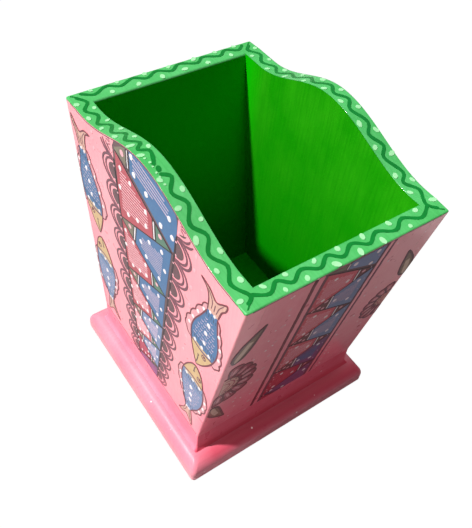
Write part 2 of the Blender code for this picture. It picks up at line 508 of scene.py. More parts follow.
def make_coat(name, shapes, chosen, material, slot):
    """A closed skin of paint over the chosen faces of some boards."""
    skin = bmesh.new()
    for shape in shapes:
        shape.normal_update()
        made = {}
        for face in shape.faces:
            if not chosen(face):
                continue
            for vert in face.verts:
                if vert not in made:
                    made[vert] = skin.verts.new(vert.co)
            skin.faces.new([made[vert] for vert in face.verts])
    add_piece(name, skin, material, slot, coat=COAT)


def faces_up(face):
    """True for a board's top and the rounding around it, but not for a leaning inner face."""
    return face.normal.z > 0.18


def faces_in(face):
    """True for a wall's face towards the inside of the cup, below its rim paint."""
    normal, centre = face.normal, face.calc_center_median()
    if faces_up(face) or abs(normal.z) > 0.9:
        return False
    if abs(normal.x) > 0.5:
        return normal.x * centre.x < 0 and abs(centre.x) < OUTER_X - 1
    return normal.y * centre.y < 0 and abs(centre.x) < INNER_X


def make_walls(seat):
    """The four walls, standing on the floor board's top with a fine seam, and their coats."""
    foot = seat + SEAM
    walls = (
        ("left_board", side_wall(-1, foot), "left_wall", "wall"),
        ("right_board", side_wall(1, foot), "right_wall", "wall"),
        ("front_board", end_wall(-1, foot), "front_wall", "end_wall"),
        ("back_board", end_wall(1, foot), "back_wall", "end_wall"),
    )
    shapes = [shape for _, shape, _, _ in walls]
    make_coat("rim_coat", shapes, faces_up, MATERIALS["rim"], "rim_green")
    make_coat("inside_coat", shapes, faces_in, MATERIALS["inside"], "inside_green")
    for name, shape, node, paint in walls:
        add_piece(name, closed(shape), MATERIALS[paint], "wall_pink", node)


def make_floor_coat(seat):
    """The green paint on the floor inside the cup, turned up a little into its corners."""
    shape = bmesh.new()
    x, y = INNER_X - 0.02, outer_y(seat) - SECTION - 0.02
    prism(shape, *[level_ring(x, y, 0.3, z, 3) for z in (seat - TUCK, seat + SEAM + 0.25)])
    add_piece("floor_coat", closed(shape), MATERIALS["floor"], "inside_green", even=False)


# ---- drawing with thin prisms

SINK = -0.03  # how far a stroke's underside is below the surface
LAYER = 0.03  # from one layer's top to the next
NUDGE = 0.002  # between the tops of strokes in one layer, so that none lie in one plane
NUDGES = 12


def curve(points, steps=5):
    """Catmull-Rom through the points."""
    points = [Vector(p) for p in points]
    padded = [points[0], *points, points[-1]]
    made = []
    for a, b, c, d in zip(padded, padded[1:], padded[2:], padded[3:]):
        for s in range(steps):
            t = s / steps
            made.append(
                0.5 * (2 * b + (c - a) * t + (2 * a - 5 * b + 4 * c - d) * t * t
                       + (3 * b - a - 3 * c + d) * t ** 3)
            )
    return made + [points[-1]]


def arc(centre, radii, start, end, steps=10, turn=0.0):
    """Points of an elliptical arc, angles in degrees."""
    made = []
    for i in range(steps + 1):
        angle = radians(start + (end - start) * i / steps)
        x, y = radii[0] * cos(angle), radii[1] * sin(angle)
        c, s = cos(radians(turn)), sin(radians(turn))
        made.append(Vector((centre[0] + x * c - y * s, centre[1] + x * s + y * c)))
    return made


def along(a, b, share):
    return Vector(a) + (Vector(b) - Vector(a)) * share


class Canvas:
    """Paint on one surface. place(u, v, h) gives the point h above the surface at (u, v), and
    allowed(u, v) is the nearest point on the surface that may be painted."""

    def __init__(self, name, place, allowed):
        self.name, self.place, self.allowed = name, place, allowed
        self.shapes = {}
        self.count = 0

    def solid(self, colour, level, lines, ring=True):
        """Adds a prism inside one closed line, or a strip between two lines. A strip that is a
        ring joins up with its start."""
        shape = self.shapes.setdefault(colour, bmesh.new())
        top = SINK + LAYER * (level + 3) + NUDGE * (self.count % NUDGES)
        self.count += 1
        verts = [
            [shape.verts.new(self.place(*self.allowed(u, v), h)) for u, v in line]
            for line in lines for h in (SINK, top)
        ]
        n = len(verts[0])
        spans = [(i, (i + 1) % n) for i in range(n if ring else n - 1)]
        if len(lines) == 1:
            low, high = verts
            faces = [low[::-1], high] + [(low[i], low[j], high[j], high[i]) for i, j in spans]
        else:
            ll, lh, rl, rh = verts  # left low, left high, right low, right high
            faces = []
            for i, j in spans:
                faces += [(lh[i], lh[j], rh[j], rh[i]), (ll[i], rl[i], rl[j], ll[j]),
                          (ll[i], ll[j], lh[j], lh[i]), (rl[i], rh[i], rh[j], rl[j])]
            if not ring:
                faces += [(ll[0], lh[0], rh[0], rl[0]), (ll[-1], rl[-1], rh[-1], lh[-1])]
        for corners in faces:
            shape.faces.new(corners)

    def fill(self, colour, points, level=0):
        self.solid(colour, level, [[Vector(p) for p in points]])

    def dot(self, colour, centre, radius, level=2, stretch=1.0, turn=0.0):
        """A slightly ragged, nine-sided dot."""
        ragged = 0.12 * radius
        ring = arc(centre, (radius * stretch, radius), 0, 320, 8, turn)
        for k, p in enumerate(ring):
            away = (p - Vector(centre)).normalized()
            p += away * ragged * noise.noise(Vector((centre[0], centre[1], k * 1.7)))
        self.solid(colour, level, [ring])

    def stroke(self, colour, points, width, level=1, ring=False, taper=0.45, wobble=0.06):
        """A brush line. taper is the share of its width left at an end."""
        points = [Vector(p) for p in points]
        line = [p for i, p in enumerate(points) if i == 0 or (p - points[i - 1]).length > 1e-3]
        n = len(line)
        seed = self.count * 0.37
        run = 0.0
        left, right = [], []
        for i, p in enumerate(line):
            before = line[i - 1] if i or ring else p
            after = line[(i + 1) % n] if i + 1 < n or ring else p
            first = (p - before).normalized() if p != before else (after - p).normalized()
            second = (after - p).normalized() if p != after else first
            bisector = first + second
            if bisector.length < 1e-6:
                bisector = first
            bisector.normalize()
            mitre = 1 / max(0.6, bisector.dot(first))
            side = Vector((-bisector.y, bisector.x))
            run += (p - before).length if i else 0
            half = width / 2 * (1 + 0.22 * noise.noise(Vector((run * 0.45, seed, 0))))
            if not ring and i in (0, n - 1):
                half *= taper
            shift = side * wobble * noise.noise(Vector((run * 0.3, seed, 5)))
            left.append(p + shift + side * half * mitre)
            right.append(p + shift - side * half * mitre)
        self.solid(colour, level, (left, right), ring)

    def finish(self):
        for colour, shape in self.shapes.items():
            name = f"{self.name}_{colour}"
            add_piece(name, closed(shape), paint_of(colour), SLOTS[colour], sharp=30, even=False)


# ---- the surfaces

PAINT_INSET = 0.75  # decoration stops this far from a board's edge
RIM_INSET = 0.12  # the same under the rim
PAINT_FOOT = FOOT_Z + 0.4  # and over the foot


def on_side(sign):
    """u is towards the front, v is height. The right side mirrors the left one."""
    return lambda u, v, h: (sign * (OUTER_X + h), -u, v)


def side_allowed(sign):
    def allowed(u, v):
        v = max(PAINT_FOOT, min(v, wave_z(-u, sign) - RIM_INSET))
        reach = outer_y(v) - PAINT_INSET
        return max(-reach, min(reach, u)), v
    return allowed


def on_end(sign):
    """u is to the right as seen from outside, v is height."""
    def place(u, v, h):
        y = outer_y(v) + h * cos(LEAN)
        return -sign * u, sign * y, v - h * sin(LEAN)
    return place


def end_allowed(u, v):
    reach = OUTER_X - PAINT_INSET
    return max(-reach, min(reach, u)), max(PAINT_FOOT, min(v, RIM_Z - RIM_INSET))


def on_rim(u, v, h):
    return u, v, wave_z(v, 1 if u > 0 else -1) + COAT + h


def rim_allowed(u, v):
    return u, v


# ---- patchwork band


def affine(apex, base_high, base_low):
    """A function from (a, b) to a point of the triangle: a is from the middle of its base to its
    apex, and b from there to the base's high end."""
    middle = along(base_high, base_low, 0.5)
    out, up = Vector(apex) - middle, Vector(base_high) - middle
    return lambda a, b: middle + out * a + up * b


RED_DOTS = ((0.09, 0.64), (0.27, 0.53), (0.55, 0.26), (0.05, 0.02), (0.54, -0.19), (0.37, -0.37),
            (0.18, -0.58))
BLUE_DOTS = ((0.40, 0.38), (0.16, 0.60), (0.56, 0.0), (0.07, 0.02), (0.43, -0.33), (0.15, -0.55))
RED_HATCHED = ((0.07, 0.66), (0.58, 0.24), (0.58, -0.24), (0.07, -0.66))
BLUE_HATCHED = ((0.13, 0.50), (0.55, 0.20), (0.55, -0.20), (0.13, -0.50))
# The tiles on the front and back are smaller and have three dots each
END_RED_DOTS = ((0.22, 0.49), (0.53, -0.06), (0.19, -0.55))
END_BLUE_DOTS = ((0.17, 0.52), (0.505, -0.03), (0.18, -0.48))
HATCH_PITCH = 1.12


def clip_line(start, end, outline):
    """The part of a line inside a convex outline, or None."""
    low, high = 0.0, 1.0
    d = end - start
    n = len(outline)
    area = sum(outline[i].cross(outline[(i + 1) % n]) for i in range(n))
    turn = 1 if area > 0 else -1
    for i in range(n):
        a, b = outline[i], outline[(i + 1) % n]
        edge = b - a
        offset = turn * edge.cross(start - a)
        rate = turn * edge.cross(d)
        if abs(rate) < 1e-9:
            if offset < 0:
                return None
            continue
        t = -offset / rate
        if rate > 0:
            low = max(low, t)
        else:
            high = min(high, t)
    if high - low < 0.02:
        return None
    return start + d * low, start + d * high


def hatch(canvas, colour, outline, slope, pitch, width):
    """Parallel fine lines inside a convex outline."""
    outline = [Vector(p) for p in outline]
    us = [p.x for p in outline]
    vs = [p.y for p in outline]
    reach = max(us) - min(us) + 2
    v = min(vs) - reach * abs(slope)
    while v < max(vs) + reach * abs(slope):
        start = Vector((min(us) - 1, v))
        found = clip_line(start, start + Vector((reach, reach * slope)), outline)
        if found:
            canvas.stroke(colour, found, width, taper=0.6, wobble=0.1)
        v += pitch


def shrunk(points, by):
    """The outline moved in by about that much, towards its centre."""
    centre = sum(points, Vector((0, 0))) / len(points)
    made = []
    for p in points:
        away = p - centre
        made.append(centre + away * max(0.2, 1 - by / max(away.length, 1e-6) * 1.4))
    return made


def patch(canvas, style, apex, base_high, base_low, scale):
    """One triangle of the band: a coloured patch with dots, a white strip, and a tip tile."""
    at = affine(apex, base_high, base_low)
    split = style["strip"]
    gap = 0.4 * scale / (Vector(apex) - at(0, 0)).length
    cut = split - gap * 2
    body = [at(0.0, 1.0), at(cut, 1 - cut), at(cut, cut - 1), at(0.0, -1.0)]
    canvas.fill(style["base"], shrunk(body, 0.08))
    tip_start = split + gap * 2.2
    tip = [at(tip_start, 1 - tip_start), at(1, 0), at(tip_start, tip_start - 1)]
    canvas.fill(style["tip"], shrunk(tip, 0.1))
    for a, b, size in style["tip_dots"]:
        canvas.dot("blush", at(split + a, b), size * scale, 1, 1.2)
    strip = [at(split, 1 - split), at(split, split - 1)]
    canvas.stroke("ink", strip, 1.5 * scale, 0, taper=1)
    canvas.stroke("white", [along(*strip, 0.08), along(*strip, 0.92)], 0.75 * scale, 2, taper=0.8)
    zone = [at(*p) for p in style["zone"]]
    hatch(canvas, style["hatch"], zone, style["slope"], HATCH_PITCH * scale, style["width"])
    for a, b in style["dots"]:
        canvas.dot("white", at(a, b), 0.84 * scale ** 0.7, 3)


RED_PATCH = {"base": "red", "tip": "sage", "hatch": "rose", "width": 0.6, "slope": 0.07,
             "zone": RED_HATCHED, "dots": RED_DOTS, "strip": 0.69, "tip_dots": ((0.11, 0.05, 0.8),)}
BLUE_PATCH = {"base": "blue", "tip": "olive", "hatch": "mauve", "width": 0.56, "slope": -0.16,
              "zone": BLUE_HATCHED, "dots": BLUE_DOTS, "strip": 0.69,
              "tip_dots": ((0.11, 0.05, 0.8),)}
LOW_RED = {**RED_PATCH, "base": "crimson", "hatch": "petal", "tip": "olive"}
PALE_RED = {**RED_PATCH, "base": "coral"}
PALE_BLUE = {**BLUE_PATCH, "base": "sky"}
END_RED = {**RED_PATCH, "base": "brick", "tip": "umber", "dots": END_RED_DOTS, "width": 0.4}
END_BLUE = {**BLUE_PATCH, "dots": END_BLUE_DOTS, "width": 0.5, "tip": "umber", "strip": 0.6,
            "tip_dots": ((0.10, 0.2, 0.9), (0.10, -0.18, 0.7), (0.2, 0.0, 0.8), (0.3, 0.03, 0.6))}
END_PALE_BLUE = {**END_BLUE, "base": "sky"}
END_LOW_RED = {**END_RED, "base": "ruby", "hatch": "brick"}
END_LOW_BLUE = {**END_BLUE, "base": "purple", "hatch": "blue"}
# The patches on the front and back, from the top
END_REDS = (END_RED, END_RED, END_RED, END_LOW_RED)
END_BLUES = (END_PALE_BLUE, END_PALE_BLUE, END_LOW_BLUE)

# The patches on a side wall, from the top, and the nodes of the zigzag between them
SIDE_REDS = (RED_PATCH, RED_PATCH, RED_PATCH, PALE_RED, LOW_RED)
SIDE_BLUES = (BLUE_PATCH, BLUE_PATCH, PALE_BLUE, PALE_BLUE)
SIDE_LEFT = ((-16, 107), (-14.5, 82.5), (-12, 62), (-9.5, 45.5), (-8, 32), (-6.5, 21))
SIDE_RIGHT = ((14.5, 94), (11.5, 71.5), (9.8, 53.5), (8, 38.5), (6.7, 26))
SCALLOPS = (107.5, 98, 88.7, 79.6, 70.8, 61.8, 53, 44.7, 36.8, 29.4, 22.6)


BAND_FOOT, BAND_TOP = 19, 108  # where the sides of a band's outline start and stop


def band_half(v):
    """Half-width of a side wall's band."""
    return 6.3 + 0.128 * (v - 20)


def side_band(canvas, crest):
    # The whole band's ground, then its tiles
    feet = [(-band_half(BAND_FOOT), 18.6), (band_half(BAND_FOOT), 18.6)]
    sides_right = [(band_half(v), v) for v in range(30, BAND_TOP, 8)]
    sides_left = [(-band_half(v), v) for v in range(102, 22, -8)]
    top = [(u, crest(u) - RIM_INSET) for u in (17.3, *range(16, -17, -2))] + [(-17.3, 107.5)]
    canvas.fill("taupe", feet + sides_right + top + sides_left, -1)

    # The top tile, cut off by the rim
    edge = [(u, crest(u) - RIM_INSET - 0.15) for u in range(16, -9, -2)]
    canvas.fill("blue", [(16.9, 96.4), (16.9, 108), *edge, (-7.6, 105.2), (15.2, 95.0)])
    zone = ((-6.0, 112.6), (4, 112.4), (13, 109), (12, 104.6), (-5.5, 107.6))
    hatch(canvas, "mauve", zone, -0.2, 1.3, 0.7)
    for p in ((-5, 106.3), (1.5, 104.6), (13.2, 105.8), (9, 99.6), (14.8, 100.2), (-6.2, 111.6)):
        canvas.dot("white", p, 0.95, 3)
    canvas.fill("olive", [(-16, 107.2), (-16, 108), (-12, 110.9), (-9.5, 112.2), (-9.5, 105.7)])
    canvas.dot("blush", (-11.6, 108.9), 1.1, 1)
    canvas.stroke("ink", [(-8.6, 112.4), (-8.4, 105.2)], 1.9, 0, taper=1)
    canvas.stroke("white", [(-8.6, 112.0), (-8.4, 105.9)], 0.85, 2)

    for k, right in enumerate(SIDE_RIGHT):
        scale = band_half(right[1]) / band_half(94)
        left_high, left_low = SIDE_LEFT[k], SIDE_LEFT[k + 1]
        patch(canvas, SIDE_REDS[k], right, left_high, left_low, scale)
        if k + 1 < len(SIDE_RIGHT):
            below = SIDE_RIGHT[k + 1]
            patch(canvas, SIDE_BLUES[k], left_low, right, below, scale * 0.93)
    canvas.fill("purple", [(6.0, 24.5), (-5.6, 20.6), (-5, 19), (6.2, 19)])

    zigzag = [p for pair in zip(SIDE_LEFT, SIDE_RIGHT) for p in pair] + [SIDE_LEFT[-1]]
    canvas.stroke("ink", zigzag, 0.55, 2, wobble=0.12)
    for sign in (-1, 1):
        edge = [(sign * band_half(v), v) for v in range(BAND_FOOT, BAND_TOP, 6)]
        canvas.stroke("ink", curve(edge), 0.7, 2, wobble=0.2)


def lace(canvas, sign, crest):
    """Scallops down one edge of a side wall's band."""
    for k, v in enumerate(SCALLOPS):
        gap = SCALLOPS[k - 1] - v if k else SCALLOPS[0] - SCALLOPS[1]
        size = gap / 9
        u = sign * (band_half(v) + 0.3)
        start, end = (90, -90) if sign > 0 else (90, 270)
        for across, high, width in ((5.2, 3.95, 0.72), (7.0, 4.8, 0.78)):
            points = arc((u, v), (across * size, high * size), start, end, 14)
            points = [p for p in points if p.y < crest(p.x) - PAINT_INSET - 0.3]
            if len(points) > 3:
                canvas.stroke("lace", points, width * size ** 0.5)
        core = arc((u, v), (3.6 * size, 2.95 * size), start, end, 10)
        core = [p for p in core if p.y < crest(p.x) - PAINT_INSET - 0.3]
        canvas.fill("taupe", core)
        for turn in (-38, 0, 38):
            tip = arc((u, v), (2.9 * size, 2.4 * size), turn, turn, 1)[0]
            tip.x = u + sign * abs(tip.x - u)
            canvas.stroke("lace", [along((u, v), tip, 0.35), tip], 0.5 * size, 1)
        for step in (-0.27, 0.27):
            canvas.dot("blush", (u + sign * 0.15, v + step * gap), 0.36 * size, 3)


# ---- fish

UPPER_FISH = {
    "left": ((29.25, 59.6), (27.6, 63.6), (26.1, 68.7), (25.7, 74.6), (27.2, 79.8),
        (29.9, 84.8), (32.4, 90.1)),
    "right": ((29.25, 59.6), (31.6, 61.6), (33.9, 64.6), (36.3, 68.6), (38.1, 73.4), (38.6, 79),
        (37.7, 84.6), (37.0, 90.4)),
    "collar": 69.6,
    "tail": ((32.4, 90.3), (32.6, 94.8), (31.6, 98), (29.0, 99.7), (32.6, 98.9), (35.7, 96.6),
        (38.4, 98.4), (40.3, 99.8), (39.9, 97.3), (38.3, 94.8), (37.1, 90.6)),
    "tail_lines": (((34.0, 92), (34.2, 95.4), (32.2, 98.3)), ((35.2, 92), (35.6, 95.0)),
        ((36.2, 92), (37.2, 95.4), (39.0, 98.3))),
    "tail_width": 0.5,
    "body": "blue",
    "frills": (((32.7, 92.2), (29.9, 88.8), (27.1, 84), (24.8, 79.2), (22.9, 75.1),
        (23.4, 71.9), (25.9, 69.4)), ((37.0, 90.4), (38.5, 86.2), (39.5, 81.4), (40.0, 76.4),
        (39.8, 72.2), (38.6, 69.0), (36.4, 68.4))),
    "frill_dots": ((30.9, 88.3), (28.4, 84.4), (26.2, 79.6), (24.6, 75.4), (38.4, 84.4),
        (39.4, 79.4), (39.3, 74.4)),
    "eye": (32.6, 67.0),
    "mouth": ((29.9, 65.3), (29.7, 63.4), (29.15, 60.9)),
    "dots": ((33.7, 84), (32.7, 79.3), (32.3, 74.2)),
    "ticks": (72.6, 88.2),
}

LOWER_FISH = {
    "left": ((29.1, 58.1), (27.2, 56.9), (25.2, 54.6), (23.4, 51.4), (22.2, 48.2), (21.8, 44.6),
        (22.3, 39.8), (23.6, 34.2), (24.8, 28.9)),
    "right": ((29.1, 58.1), (31.0, 56.9), (32.4, 54.6), (33.4, 50.6), (34.0, 45.3),
        (33.6, 40.3), (31.9, 35.4), (29.6, 31.6), (27.8, 28.7)),
    "collar": 49.6,
    "tail": ((24.8, 29), (24.2, 26.2), (22.6, 23.6), (21.0, 21.4), (23.4, 22.2), (25.2, 23.6),
        (26.6, 22.6), (28.8, 20.2), (28.6, 24.0), (27.9, 28.8)),
    "tail_lines": (((25.6, 28), (24.9, 25.4), (23.2, 23.2)), ((27.1, 28), (27.3, 25),
        (28.2, 22))),
    "tail_width": 0.38,
    "body": "sky",
    "frills": (((25.4, 30.4), (22.9, 34.6), (21.2, 38.8), (20.2, 43.2), (20.4, 47.4),
        (22.6, 50.0)), ((28.8, 30.4), (31.6, 32.6), (33.9, 36.6), (35.6, 41.0), (35.8, 45.4),
        (33.2, 50.4))),
    "frill_dots": ((23.4, 35.4), (21.9, 39.6), (21.1, 44.2), (32.6, 35.2), (34.4, 39.6),
        (35.0, 44.0)),
    "eye": (31.2, 52.9),
    "mouth": ((28.4, 54.2), (28.6, 56.0), (29.0, 57.4)),
    "dots": ((27.4, 43.1), (27.4, 38.7), (27.3, 35.2)),
    "ticks": (46.8, 31.6),
}


def crossing(side, v):
    """The u at which a fish's side outline reaches height v."""
    for (u0, v0), (u1, v1) in zip(side, side[1:]):
        if (v0 - v) * (v1 - v) <= 0 and v0 != v1:
            return u0 + (u1 - u0) * (v - v0) / (v1 - v0)
    return side[-1][0]


def scalloped(points, centre, out, steps=5):
    """The line through the points, with a bump away from centre between each pair."""
    made = []
    for a, b in zip(points, points[1:]):
        a, b = Vector(a), Vector(b)
        normal = Vector((-(b - a).y, (b - a).x)).normalized()
        if normal.dot(a - centre) < 0:
            normal.negate()
        for s in range(steps):
            t = s / steps
            made.append(a + (b - a) * t + normal * out * sin(pi * t))
    made.append(Vector(points[-1]))
    return made


def fish(canvas, shape, moved):
    """Draws a fish. moved takes its (u, v) points to where it goes on the wall."""
    def go(points):
        return [moved(Vector(p)) for p in points]

    def spots(colour, points, radius, level=3):
        for p in go(points):
            canvas.dot(colour, p, radius, level)

    left, right, collar = shape["left"], shape["right"], shape["collar"]
    up = left[-1][1] > left[0][1]
    middle = sum((Vector(p) for p in left + right), Vector((0, 0))) / len(left + right)
    for body, frill in ((left, shape["frills"][0]), (right, shape["frills"][1])):
        bumps = scalloped(frill, middle, 0.7)
        inner = [Vector(p) for p in body if (p[1] > collar - 2 if up else p[1] < collar + 2)]
        if (inner[0] - bumps[-1]).length > (inner[-1] - bumps[-1]).length:
            inner.reverse()
        canvas.fill("shell", go(bumps + inner))
        canvas.stroke("maroon", go(bumps), 0.45, 2)
    spots("white", shape["frill_dots"], 0.62)

    tail = [Vector(p) for p in shape["tail"]]
    canvas.fill("peach", go(curve(tail, steps=3)))
    canvas.stroke("maroon", curve(go(tail)), shape["tail_width"], 2)
    for line in shape["tail_lines"]:
        canvas.stroke("lace", curve(go(line)), 0.28, 2)

    smooth_left, smooth_right = curve(left, steps=4), curve(right, steps=4)

    def beyond(p):
        return p.y >= collar if up else p.y <= collar

    at_left, at_right = crossing(left, collar), crossing(right, collar)
    collar_ends = [Vector((at_left, collar)), Vector((at_right, collar))]
    collar_middle = Vector(((at_left + at_right) / 2, collar + (-0.9 if up else 0.9)))
    collar_line = curve([collar_ends[0], collar_middle, collar_ends[1]], steps=5)
    body = [p for p in smooth_left if beyond(p)]
    body_right = [p for p in smooth_right if beyond(p)]
    canvas.fill(shape["body"], go(collar_line + body_right + body[::-1]), 1)
    head_left = [p for p in smooth_left if not beyond(p)]
    head_right = [p for p in smooth_right if not beyond(p)]
    canvas.fill("gold", go(head_left + collar_line + head_right[:0:-1]), 1)
    for edge in (smooth_left, smooth_right):
        canvas.stroke("maroon", go(edge), 0.48, 3)
    canvas.stroke("maroon", go(collar_line), 0.5, 2)
    offset = Vector((0, 1.0 if up else -1.0))
    canvas.stroke("gold", go([p + offset for p in collar_line[1:-1]]), 0.8, 2)
    shares = (0.17, 0.5, 0.83)
    collar_dots = [along(collar_line[0], collar_line[-1], t) + offset * 1.1 for t in shares]
    spots("white", collar_dots, 0.68)

    for v in shape["ticks"]:
        a, b = crossing(left, v) + 0.7, crossing(right, v) - 0.7
        n = max(4, int((b - a) / 0.9))
        for i in range(n + 1):
            u = a + (b - a) * i / n
            line = [Vector((u, v - 0.7)), Vector((u, v + 0.7))]
            canvas.stroke("ink", go(line), 0.22, 2, taper=0.7)
    low, high = sorted(shape["ticks"])
    rows = int((high - low - 2) / 1.5)
    for row in range(rows):
        v = low + 1.7 + row * 1.5
        a, b = crossing(left, v) + 1.3, crossing(right, v) - 1.3
        n = max(1, int((b - a) / 1.45))
        for i in range(n):
            u = a + (b - a) * (i + (0.5 if row % 2 else 0.25)) / n
            cup = arc((u, v), (0.55, 0.6), 200, 340, 4)
            canvas.stroke("mauve", go(cup), 0.3, 2, taper=0.6, wobble=0)
    spots("white", shape["dots"], 0.82, 4)
    spots("white", [along(left[-1], right[-1], share) for share in (0.3, 0.72)], 0.5)

    eye, mouth = shape["eye"], shape["mouth"]
    socket = arc(eye, (0.95, 0.95), 0, 330, 11)
    canvas.stroke("lace", go(socket), 0.36, 3, ring=True, wobble=0)
    spots("maroon", [(eye[0] + 0.2, eye[1] + 0.3)], 0.42, 4)
    canvas.stroke("taupe", curve(go(mouth)), 0.4, 3)
    spots("taupe", mouth[:1], 0.4)


def stay(p):
    return p


def back_upper(p):
    """The rear upper fish: mirrored, and leaning a little more."""
    return Vector((-31.2 - (p.x - 29.25) * 1.06 - (p.y - 59.6) * 0.04, p.y + 0.3))


def back_lower(p):
    return Vector((-30.4 - (p.x - 29.1) * 1.06 - (p.y - 58.1) * 0.02, p.y - 0.2))


def side_specks(canvas, rng):
    """Small pale dots and dashes on the pink between the motifs."""
    for u, v in ((26, 104), (25.5, 98.2), (24.5, 90.2), (24, 82), (23, 66), (22, 58)):
        canvas.dot("blush", (u, v), 0.62, 0)
        canvas.dot("blush", (-u - 4.4, v - 1), 0.6, 0)
    for _ in range(34):
        u = rng.uniform(17, 44) * rng.choice((-1, 1))
        v = rng.uniform(20, 104)
        if abs(u) < outer_y(v) - 2 and abs(u) > band_half(v) + 8.6:
            canvas.dot("blush", (u, v), rng.uniform(0.22, 0.4), -1)


def paint_side(name, sign):
    def crest(u):
        return wave_z(-u, sign)

    canvas = Canvas(name, on_side(sign), side_allowed(sign))
    side_band(canvas, crest)
    for edge in (-1, 1):
        lace(canvas, edge, crest)
    fish(canvas, UPPER_FISH, stay)
    fish(canvas, LOWER_FISH, stay)
    fish(canvas, UPPER_FISH, back_upper)
    fish(canvas, LOWER_FISH, back_lower)
    side_specks(canvas, Random(7))
    under_rim = [(u, crest(u) - 0.36) for u in range(-44, 45, 2)]
    canvas.stroke("lace", curve(under_rim), 0.28, 0, wobble=0.2)
    # A deeper pink line just over the seam at the foot: painted shade of the seam.
    foot = curve([(u, FOOT_Z + 0.6) for u in range(-32, 33, 4)])
    canvas.stroke("petal", foot, 0.35, 0, wobble=0.3)
    canvas.finish()


# ---- front and back

END_LEFT_U, END_RIGHT_U = -8.6, 11.2
END_PITCH = 20.0
END_TOP = 103.0


def end_band(canvas):
    wide = [(END_LEFT_U - 0.6, 18.7), (END_RIGHT_U + 0.5, 18.7), (END_RIGHT_U + 0.5, 103.6),
            (END_LEFT_U - 0.6, 103.6)]
    canvas.fill("taupe", wide, -1)
    lefts = [Vector((END_LEFT_U, END_TOP - END_PITCH * k)) for k in range(5)]
    rights = [Vector((END_RIGHT_U, END_TOP - END_PITCH * (k + 0.5))) for k in range(4)]
    scale = 0.72
    top_tile = [(END_RIGHT_U, 94.5), (END_RIGHT_U, 103.4), (-0.9, 103.4), (-0.9, 100.2)]
    canvas.fill("sky", top_tile)
    canvas.fill("olive", [(-8.2, 103.4), (-2.3, 103.4), (-2.3, 100.9)])
    canvas.stroke("white", [(-1.6, 103.2), (-1.6, 100.6)], 0.6, 2)
    for p in ((1.0, 101.4), (8.2, 96.8), (8.6, 102.2)):
        canvas.dot("white", p, 0.75, 3)
    for k, right in enumerate(rights):
        patch(canvas, END_REDS[k], right, lefts[k], lefts[k + 1], scale)
        if k < 3:
            patch(canvas, END_BLUES[k], lefts[k + 1], right, rights[k + 1], scale)
    canvas.fill("purple", [(11, 32), (-7.8, 22.9), (-1, 19), (11, 19)])
    canvas.fill("ruby", [(-8.4, 22), (-2.4, 19), (-8.4, 19)])
    for p in ((9, 26.6), (1.1, 20.6), (-5, 24.4)):
        canvas.dot("white", p, 0.7, 3)
    zigzag = [p for pair in zip(lefts, rights) for p in pair] + [lefts[-1], Vector((3, 18.8))]
    canvas.stroke("ink", zigzag, 0.55, 2, wobble=0.12)
    strip = [(END_LEFT_U + 0.2, 100.5), (END_LEFT_U + 2.0, 99.5), (END_LEFT_U + 2.0, 23),
             (END_LEFT_U + 0.2, 20)]
    canvas.fill("umber", strip)
    for k in range(30):
        across = 0.8 if k % 2 else 1.5
        canvas.dot("shell", (END_LEFT_U + across, 98.5 - 2.6 * k), 0.42, 3, 0.8)
    for k in range(15):
        canvas.dot("mauve", (END_RIGHT_U - 1.3, 99.5 - 5.8 * k), 0.32, 3, 0.7)


def end_borders(canvas):
    def upright(u, width, colour, lean=0.0):
        points = [(u + lean * (100 - v) / 80, v) for v in range(19, 104, 6)] + [(u, 103.6)]
        canvas.stroke(colour, curve(points), width, wobble=0.25, taper=0.9)

    upright(-12.6, 1.15, "maroon", 0.5)
    upright(-9.3, 0.7, "lace")
    upright(11.8, 0.7, "lace")
    upright(14.2, 0.8, "lace")


def leaf(canvas, base, tip, width, sweep):
    """A long leaf from base to tip, bent to one side by sweep."""
    base, tip = Vector(base), Vector(tip)
    axis = tip - base
    normal = Vector((-axis.y, axis.x)).normalized()
    shares = (0, 0.12, 0.32, 0.54, 0.78, 1)
    swell = (0.0, 0.78, 1.0, 0.86, 0.46, 0.0)

    def edge(side, size):
        return [base + axis * t + normal * (sweep * sin(pi * t) + side * size * s * width / 2)
                for t, s in zip(shares, swell)]

    left, right = curve(edge(1, 1)), curve(edge(-1, 1))
    canvas.fill("khaki", left + right[-2:0:-1])
    inner_left, inner_right = curve(edge(1, 0.42)), curve(edge(-1, 0.42))
    canvas.fill("sand", inner_left[2:-9] + inner_right[2:-9][::-1], 1)
    canvas.stroke("taupe", left, 0.8, 2)
    canvas.stroke("taupe", right, 0.8, 2)


# A flower's petals: their direction in degrees, and how far they reach
PETALS = ((76, 12.6), (54, 12.2), (29, 11.5), (3, 11.3), (-24, 11.9), (-48, 13.2), (-70, 13.9),
          (-90, 13.6))


